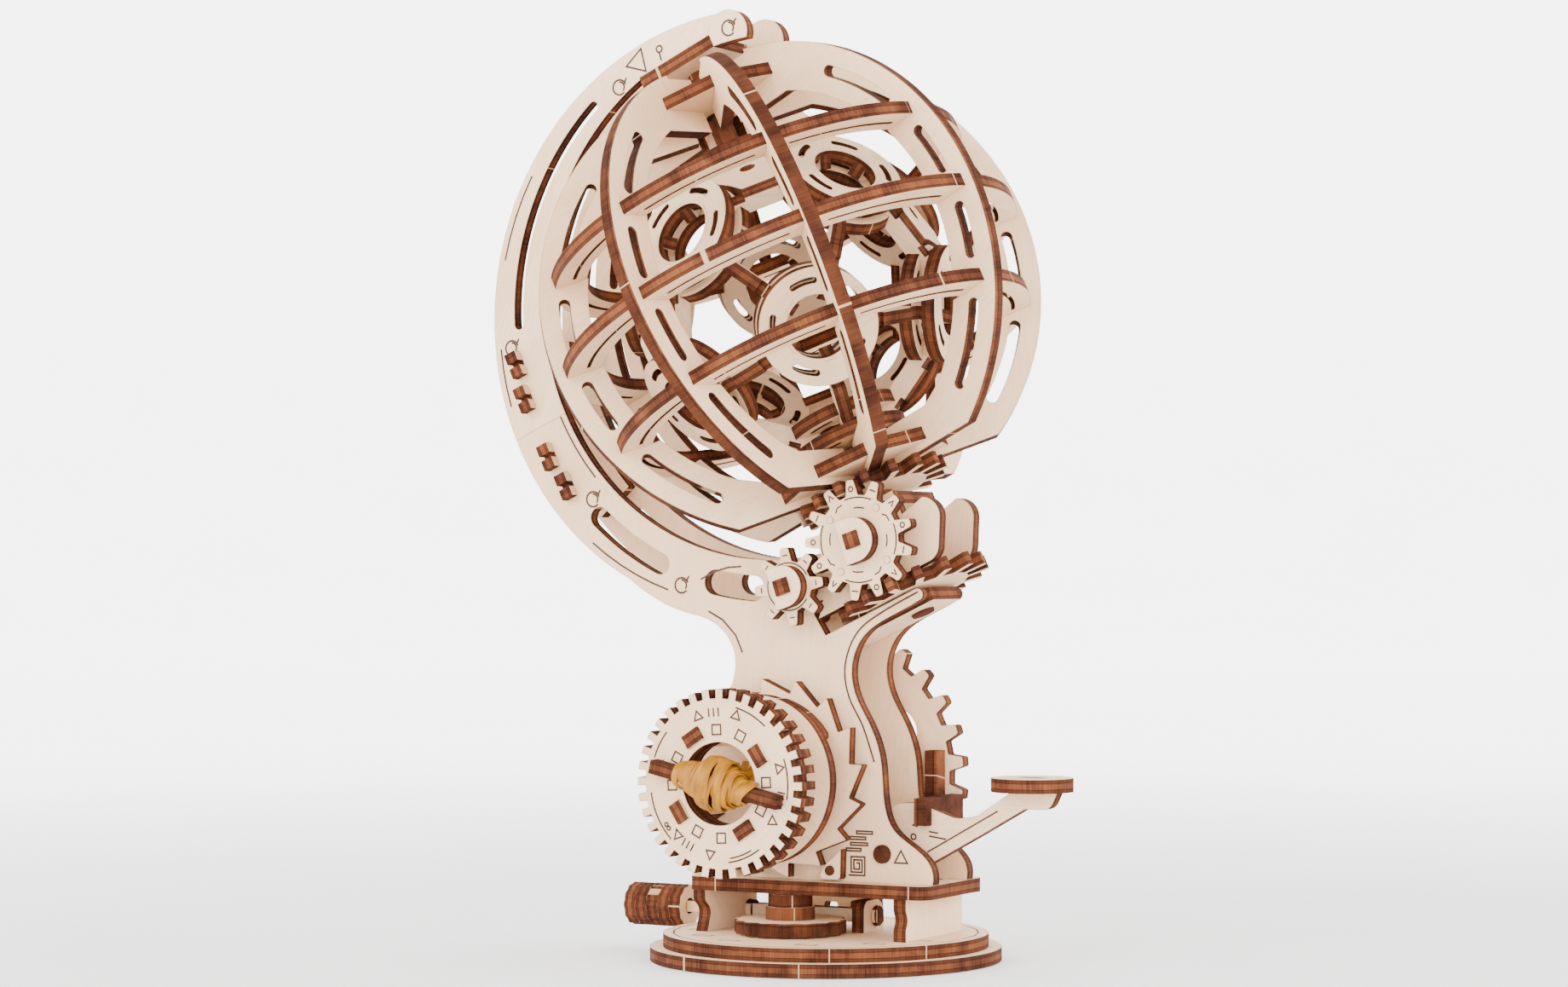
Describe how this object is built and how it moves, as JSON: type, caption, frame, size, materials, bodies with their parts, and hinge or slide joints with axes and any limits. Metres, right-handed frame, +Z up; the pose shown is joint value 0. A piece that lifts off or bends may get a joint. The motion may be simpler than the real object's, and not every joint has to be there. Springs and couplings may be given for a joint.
{
  "type": "mechanical skeleton globe",
  "caption": "Laser-cut plywood mechanical globe kit: a ribbed globe cage with a counter-turning ball core on a tilted axis between two C-shaped frames, driven by a rubber-band drum on a round base.",
  "frame": {"origin": "centre of the base's underside", "axes": "+Z up; X along the two flat frames, with the globe's axis leaning towards -X; -Y towards the winding wheel"},
  "size_m": [0.1901, 0.15, 0.2843],
  "materials": {
    "plywood": "bare birch plywood sheet, matt, with dark laser-cut edges",
    "plywood_gears": "bare birch plywood sheet, matt, with dark laser-cut edges",
    "plywood_core": "bare birch plywood sheet, matt, with dark laser-cut edges",
    "plywood_dark": "laser-cut end grain, scorched brown",
    "latex": "ochre latex rubber bands, semi-gloss"
  },
  "bodies": {
    "stand": {"base_disc_lower": "plywood", "base_disc_upper": "plywood", "deck": "plywood", "frame_front_upper": "plywood", "frame_front_lower": "plywood", "frame_back_upper": "plywood", "frame_back_lower": "plywood", "splice_plates": "plywood", "splice_clips": "plywood_dark", "bearing_plates": "plywood", "dowels_and_pins": "plywood_dark", "bracket_left": "plywood", "bracket_right": "plywood", "shaft_support": "plywood"},
    "knob": {"knob_layers": "plywood_dark", "knob_shaft": "plywood"},
    "under_wheel": {"scallop_wheel": "plywood_gears"},
    "drive_axle": {"main_axle": "plywood", "big_gear": "plywood_gears"},
    "first_shaft": {"shaft_1": "plywood", "pinion": "plywood_gears", "front_gear_small": "plywood_gears", "shaft_1_caps": "plywood"},
    "second_shaft": {"shaft_2": "plywood", "front_gear_large": "plywood_gears", "shaft_2_caps": "plywood"},
    "winding_drum": {"winding_wheel_front": "plywood_gears", "winding_wheel_rear": "plywood_gears", "drum_bars": "plywood_dark", "drum_disc": "plywood", "ratchet_wheel": "plywood_gears", "cross_bar": "plywood_dark", "rubber_bands": "latex"},
    "pawl": {"pawl": "plywood"},
    "lever": {"lever_plate": "plywood", "lever_pad": "plywood", "lever_brake": "plywood_dark"},
    "globe": {"meridian_1": "plywood", "meridian_2": "plywood", "meridian_3": "plywood", "meridian_4": "plywood", "meridian_5": "plywood", "meridian_6": "plywood", "meridian_7": "plywood", "meridian_8": "plywood", "ring_equator": "plywood", "rings_small": "plywood", "pole_plates": "plywood", "globe_pivot_top": "plywood", "globe_sleeve": "plywood", "crown_wheel_globe": "plywood_gears"},
    "core": {"core_outer_rings": "plywood_core", "core_inner_rings": "plywood_core", "core_edge_bars": "plywood_core", "core_face_plates": "plywood_core", "core_pole_discs": "plywood_core", "core_axles": "plywood_core", "crown_wheel_core": "plywood_gears"}
  },
  "joints": [
    {"name": "drive_spin", "type": "hinge", "parent": "stand", "child": "drive_axle", "pos_m": [-0.008, 0, 0.0545], "axis": [0, 1, 0], "continuous": true},
    {"name": "shaft_1_spin", "type": "hinge", "parent": "stand", "child": "first_shaft", "pos_m": [-0.0006, 0, 0.1111], "axis": [0, 1, 0], "continuous": true},
    {"name": "shaft_2_spin", "type": "hinge", "parent": "stand", "child": "second_shaft", "pos_m": [0.02261, 0, 0.12477], "axis": [0, 1, 0], "continuous": true},
    {"name": "globe_spin", "type": "hinge", "parent": "stand", "child": "globe", "pos_m": [-0.012, 0, 0.199], "axis": [-0.4226, 0, 0.9063], "continuous": true},
    {"name": "core_spin", "type": "hinge", "parent": "stand", "child": "core", "pos_m": [-0.012, 0, 0.199], "axis": [-0.4226, 0, 0.9063], "continuous": true},
    {"name": "winding_turn", "type": "hinge", "parent": "stand", "child": "winding_drum", "pos_m": [-0.008, 0, 0.0545], "axis": [0, 1, 0], "continuous": true},
    {"name": "pawl_lift", "type": "hinge", "parent": "stand", "child": "pawl", "pos_m": [0.0106, 0, 0.0279], "axis": [0, 1, 0], "range_deg": [0, 6]},
    {"name": "lever_tilt", "type": "hinge", "parent": "stand", "child": "lever", "pos_m": [0.026, 0, 0.033], "axis": [0, 1, 0], "range_deg": [-3, 6]},
    {"name": "knob_turn", "type": "hinge", "parent": "stand", "child": "knob", "pos_m": [0, 0.0085, 0.0126], "axis": [1, 0, 0], "continuous": true},
    {"name": "under_wheel_turn", "type": "hinge", "parent": "stand", "child": "under_wheel", "pos_m": [-0.0055, -0.012, 0], "axis": [0, 0, 1], "continuous": true}
  ],
  "couplings": [
    {"joint": "shaft_1_spin", "follows": "drive_spin", "ratio": -3.1111},
    {"joint": "shaft_2_spin", "follows": "drive_spin", "ratio": 1.9145},
    {"joint": "globe_spin", "follows": "drive_spin", "ratio": 1.5556},
    {"joint": "core_spin", "follows": "drive_spin", "ratio": -1.5556}
  ]
}
